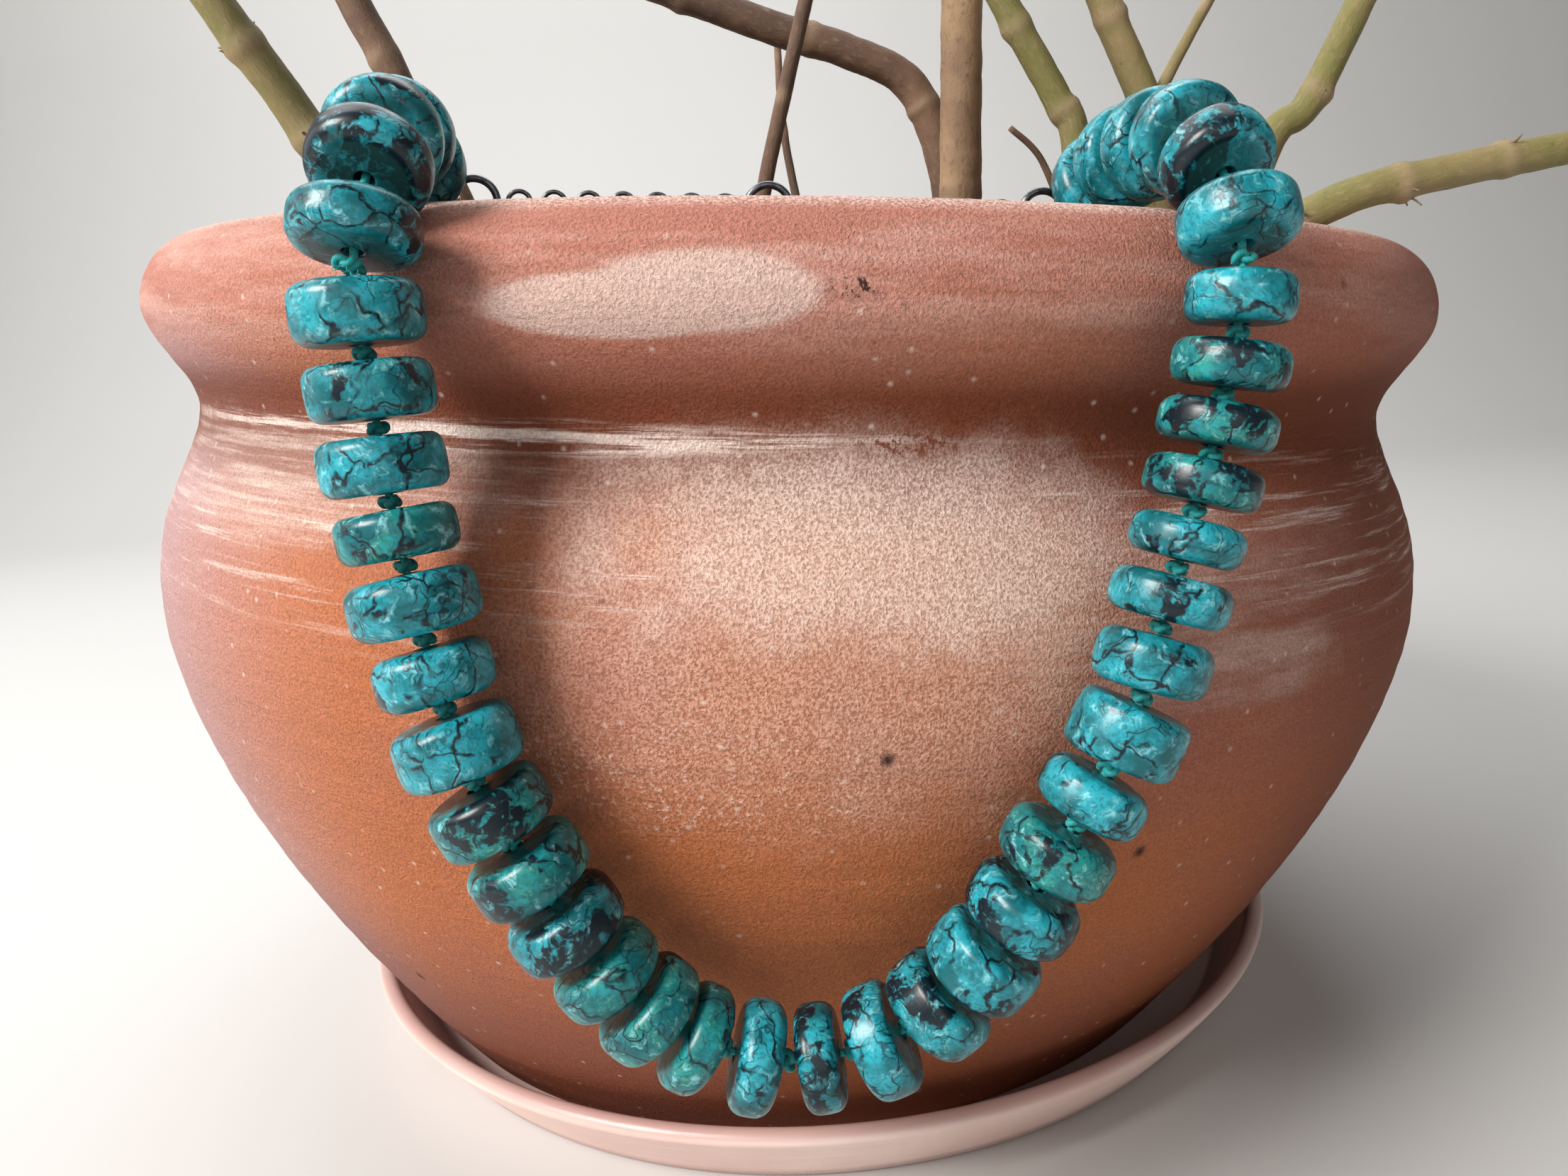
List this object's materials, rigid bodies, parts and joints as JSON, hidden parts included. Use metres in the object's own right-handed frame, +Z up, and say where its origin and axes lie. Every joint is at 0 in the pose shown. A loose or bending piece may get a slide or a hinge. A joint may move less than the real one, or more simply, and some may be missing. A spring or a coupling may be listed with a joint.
{
  "type": "potted plant with a necklace on its rim",
  "caption": "Leaning terracotta pot in a shallow saucer, with bare woody stems in its soil and a knotted turquoise necklace hung over the front of its rim.",
  "frame": {"origin": "centre of the saucer's flat foot", "axes": "+Z up, -Y towards the side that the necklace hangs on, +X to the right seen from there, which is the way the pot leans"},
  "size_m": [0.3375, 0.307, 0.2882],
  "materials": {
    "terracotta": "matte, hand-thrown, with a pale mineral bloom",
    "pale_clay": "smooth, satin",
    "soil": "loose, matte",
    "green_stem": "smooth green bark",
    "brown_stem": "woody bark",
    "turquoise": "polished, with dark matrix",
    "silk": "twisted silk",
    "copper": "polished copper",
    "gunmetal": "dark plated"
  },
  "bodies": {
    "saucer": {"saucer": "pale_clay"},
    "pot": {"pot": "terracotta", "soil": "soil", "stem_1": "green_stem", "stem_2": "brown_stem", "stem_3": "brown_stem", "stem_4": "brown_stem", "stem_5": "brown_stem", "stem_6": "green_stem", "stem_7": "green_stem", "stem_8": "green_stem", "stem_9": "green_stem", "twigs": "brown_stem"},
    "necklace": {"necklace_cord": "silk", "knots": "silk", "jump_rings": "copper", "chain": "gunmetal", "clasp_body": "gunmetal", "clasp_pin": "gunmetal"},
    "bead_01": {"bead_01": "turquoise"},
    "bead_02": {"bead_02": "turquoise"},
    "bead_03": {"bead_03": "turquoise"},
    "bead_04": {"bead_04": "turquoise"},
    "bead_05": {"bead_05": "turquoise"},
    "bead_06": {"bead_06": "turquoise"},
    "bead_07": {"bead_07": "turquoise"},
    "bead_08": {"bead_08": "turquoise"},
    "bead_09": {"bead_09": "turquoise"},
    "bead_10": {"bead_10": "turquoise"},
    "bead_11": {"bead_11": "turquoise"},
    "bead_12": {"bead_12": "turquoise"},
    "bead_13": {"bead_13": "turquoise"},
    "bead_14": {"bead_14": "turquoise"},
    "bead_15": {"bead_15": "turquoise"},
    "bead_16": {"bead_16": "turquoise"},
    "bead_17": {"bead_17": "turquoise"},
    "bead_18": {"bead_18": "turquoise"},
    "bead_19": {"bead_19": "turquoise"},
    "bead_20": {"bead_20": "turquoise"},
    "bead_21": {"bead_21": "turquoise"},
    "bead_22": {"bead_22": "turquoise"},
    "bead_23": {"bead_23": "turquoise"},
    "bead_24": {"bead_24": "turquoise"},
    "bead_25": {"bead_25": "turquoise"},
    "bead_26": {"bead_26": "turquoise"},
    "bead_27": {"bead_27": "turquoise"},
    "bead_28": {"bead_28": "turquoise"},
    "bead_29": {"bead_29": "turquoise"},
    "bead_30": {"bead_30": "turquoise"},
    "bead_31": {"bead_31": "turquoise"},
    "bead_32": {"bead_32": "turquoise"},
    "bead_33": {"bead_33": "turquoise"},
    "bead_34": {"bead_34": "turquoise"},
    "bead_35": {"bead_35": "turquoise"},
    "bead_36": {"bead_36": "turquoise"},
    "bead_37": {"bead_37": "turquoise"},
    "bead_38": {"bead_38": "turquoise"},
    "bead_39": {"bead_39": "turquoise"},
    "bead_40": {"bead_40": "turquoise"},
    "clasp_trigger": {"clasp_trigger": "gunmetal"}
  },
  "joints": [
    {"name": "pot_lift", "type": "slide", "parent": "saucer", "child": "pot", "axis": [0, 0, 1], "range_m": [0, 0.1]},
    {"name": "necklace_lift", "type": "slide", "parent": "pot", "child": "necklace", "axis": [0.0592, -0.7071, 0.7046], "range_m": [0, 0.12]},
    {"name": "bead_01_spin", "type": "hinge", "parent": "necklace", "child": "bead_01", "pos_m": [-0.05499, -0.10627, 0.19162], "axis": [0.1013, -0.8857, 0.453], "continuous": true},
    {"name": "bead_02_spin", "type": "hinge", "parent": "necklace", "child": "bead_02", "pos_m": [-0.05389, -0.11641, 0.19445], "axis": [0.1052, -0.9944, 0.0036], "continuous": true},
    {"name": "bead_03_spin", "type": "hinge", "parent": "necklace", "child": "bead_03", "pos_m": [-0.05276, -0.12682, 0.19251], "axis": [0.0872, -0.9351, -0.3436], "continuous": true},
    {"name": "bead_04_spin", "type": "hinge", "parent": "necklace", "child": "bead_04", "pos_m": [-0.05221, -0.13609, 0.18731], "axis": [-0.0347, -0.7453, -0.6659], "continuous": true},
    {"name": "bead_05_spin", "type": "hinge", "parent": "necklace", "child": "bead_05", "pos_m": [-0.05336, -0.14204, 0.17861], "axis": [-0.1032, -0.3565, -0.9286], "continuous": true},
    {"name": "bead_06_spin", "type": "hinge", "parent": "necklace", "child": "bead_06", "pos_m": [-0.05402, -0.14395, 0.16739], "axis": [0.0066, -0.0604, -0.9982], "continuous": true},
    {"name": "bead_07_spin", "type": "hinge", "parent": "necklace", "child": "bead_07", "pos_m": [-0.05366, -0.14431, 0.15705], "axis": [0.0382, -0.0573, -0.9976], "continuous": true},
    {"name": "bead_08_spin", "type": "hinge", "parent": "necklace", "child": "bead_08", "pos_m": [-0.05323, -0.14499, 0.14698], "axis": [0.0602, -0.0762, -0.9953], "continuous": true},
    {"name": "bead_09_spin", "type": "hinge", "parent": "necklace", "child": "bead_09", "pos_m": [-0.05238, -0.14583, 0.13746], "axis": [0.1125, -0.0974, -0.9889], "continuous": true},
    {"name": "bead_10_spin", "type": "hinge", "parent": "necklace", "child": "bead_10", "pos_m": [-0.05107, -0.14685, 0.12775], "axis": [0.155, -0.1075, -0.982], "continuous": true},
    {"name": "bead_11_spin", "type": "hinge", "parent": "necklace", "child": "bead_11", "pos_m": [-0.0493, -0.14807, 0.11763], "axis": [0.1841, -0.131, -0.9741], "continuous": true},
    {"name": "bead_12_spin", "type": "hinge", "parent": "necklace", "child": "bead_12", "pos_m": [-0.04701, -0.14934, 0.10736], "axis": [0.2629, -0.0887, -0.9607], "continuous": true},
    {"name": "bead_13_spin", "type": "hinge", "parent": "necklace", "child": "bead_13", "pos_m": [-0.04349, -0.14977, 0.09738], "axis": [0.392, -0.0019, -0.92], "continuous": true},
    {"name": "bead_14_spin", "type": "hinge", "parent": "necklace", "child": "bead_14", "pos_m": [-0.03927, -0.14952, 0.08822], "axis": [0.4256, 0.0491, -0.9036], "continuous": true},
    {"name": "bead_15_spin", "type": "hinge", "parent": "necklace", "child": "bead_15", "pos_m": [-0.03501, -0.14871, 0.07909], "axis": [0.4313, 0.1091, -0.8956], "continuous": true},
    {"name": "bead_16_spin", "type": "hinge", "parent": "necklace", "child": "bead_16", "pos_m": [-0.03029, -0.14758, 0.07053], "axis": [0.5446, 0.1078, -0.8317], "continuous": true},
    {"name": "bead_17_spin", "type": "hinge", "parent": "necklace", "child": "bead_17", "pos_m": [-0.02474, -0.14659, 0.06308], "axis": [0.6497, 0.1052, -0.7528], "continuous": true},
    {"name": "bead_18_spin", "type": "hinge", "parent": "necklace", "child": "bead_18", "pos_m": [-0.01829, -0.14574, 0.05712], "axis": [0.8174, 0.0825, -0.5701], "continuous": true},
    {"name": "bead_19_spin", "type": "hinge", "parent": "necklace", "child": "bead_19", "pos_m": [-0.00942, -0.14508, 0.05276], "axis": [0.9556, 0.0441, -0.2914], "continuous": true},
    {"name": "bead_20_spin", "type": "hinge", "parent": "necklace", "child": "bead_20", "pos_m": [0.0004, -0.14505, 0.05191], "axis": [0.9913, -0.0386, 0.1259], "continuous": true},
    {"name": "bead_21_spin", "type": "hinge", "parent": "necklace", "child": "bead_21", "pos_m": [0.00994, -0.14564, 0.05456], "axis": [0.9153, -0.073, 0.3961], "continuous": true},
    {"name": "bead_22_spin", "type": "hinge", "parent": "necklace", "child": "bead_22", "pos_m": [0.01865, -0.14658, 0.06058], "axis": [0.7259, -0.1033, 0.68], "continuous": true},
    {"name": "bead_23_spin", "type": "hinge", "parent": "necklace", "child": "bead_23", "pos_m": [0.02559, -0.14789, 0.06813], "axis": [0.5934, -0.1385, 0.7929], "continuous": true},
    {"name": "bead_24_spin", "type": "hinge", "parent": "necklace", "child": "bead_24", "pos_m": [0.0313, -0.149, 0.07668], "axis": [0.522, -0.0883, 0.8483], "continuous": true},
    {"name": "bead_25_spin", "type": "hinge", "parent": "necklace", "child": "bead_25", "pos_m": [0.03648, -0.14966, 0.08532], "axis": [0.5166, -0.0294, 0.8557], "continuous": true},
    {"name": "bead_26_spin", "type": "hinge", "parent": "necklace", "child": "bead_26", "pos_m": [0.04163, -0.14958, 0.09342], "axis": [0.5465, 0.0393, 0.8365], "continuous": true},
    {"name": "bead_27_spin", "type": "hinge", "parent": "necklace", "child": "bead_27", "pos_m": [0.04687, -0.14893, 0.10203], "axis": [0.4608, 0.0892, 0.883], "continuous": true},
    {"name": "bead_28_spin", "type": "hinge", "parent": "necklace", "child": "bead_28", "pos_m": [0.05092, -0.14762, 0.11172], "axis": [0.3244, 0.1499, 0.934], "continuous": true},
    {"name": "bead_29_spin", "type": "hinge", "parent": "necklace", "child": "bead_29", "pos_m": [0.05383, -0.14623, 0.12049], "axis": [0.3205, 0.1347, 0.9376], "continuous": true},
    {"name": "bead_30_spin", "type": "hinge", "parent": "necklace", "child": "bead_30", "pos_m": [0.05654, -0.14521, 0.12833], "axis": [0.3196, 0.1145, 0.9406], "continuous": true},
    {"name": "bead_31_spin", "type": "hinge", "parent": "necklace", "child": "bead_31", "pos_m": [0.05907, -0.14431, 0.13597], "axis": [0.3037, 0.1118, 0.9462], "continuous": true},
    {"name": "bead_32_spin", "type": "hinge", "parent": "necklace", "child": "bead_32", "pos_m": [0.06147, -0.14339, 0.14365], "axis": [0.2819, 0.1099, 0.9531], "continuous": true},
    {"name": "bead_33_spin", "type": "hinge", "parent": "necklace", "child": "bead_33", "pos_m": [0.06354, -0.14267, 0.1517], "axis": [0.2048, 0.0443, 0.9778], "continuous": true},
    {"name": "bead_34_spin", "type": "hinge", "parent": "necklace", "child": "bead_34", "pos_m": [0.06494, -0.1423, 0.16043], "axis": [0.1149, 0.0954, 0.9888], "continuous": true},
    {"name": "bead_35_spin", "type": "hinge", "parent": "necklace", "child": "bead_35", "pos_m": [0.0655, -0.13998, 0.17074], "axis": [-0.0147, 0.4187, 0.908], "continuous": true},
    {"name": "bead_36_spin", "type": "hinge", "parent": "necklace", "child": "bead_36", "pos_m": [0.06481, -0.13357, 0.1791], "axis": [-0.0971, 0.7673, 0.6339], "continuous": true},
    {"name": "bead_37_spin", "type": "hinge", "parent": "necklace", "child": "bead_37", "pos_m": [0.06367, -0.12444, 0.18375], "axis": [-0.1048, 0.9689, 0.2243], "continuous": true},
    {"name": "bead_38_spin", "type": "hinge", "parent": "necklace", "child": "bead_38", "pos_m": [0.06243, -0.11417, 0.18468], "axis": [-0.1533, 0.9881, 0.012], "continuous": true},
    {"name": "bead_39_spin", "type": "hinge", "parent": "necklace", "child": "bead_39", "pos_m": [0.0607, -0.10393, 0.18424], "axis": [-0.1692, 0.9817, -0.0875], "continuous": true},
    {"name": "bead_40_spin", "type": "hinge", "parent": "necklace", "child": "bead_40", "pos_m": [0.05918, -0.09396, 0.18189], "axis": [-0.1219, 0.9043, -0.4091], "continuous": true},
    {"name": "clasp_trigger_turn", "type": "hinge", "parent": "necklace", "child": "clasp_trigger", "pos_m": [0.01281, -0.09036, 0.1813], "axis": [0.0843, 0.0001, 0.9964], "range_deg": [0, 15], "stiffness_Nm_per_rad": 0.0004, "springref_deg": -5.73}
  ]
}
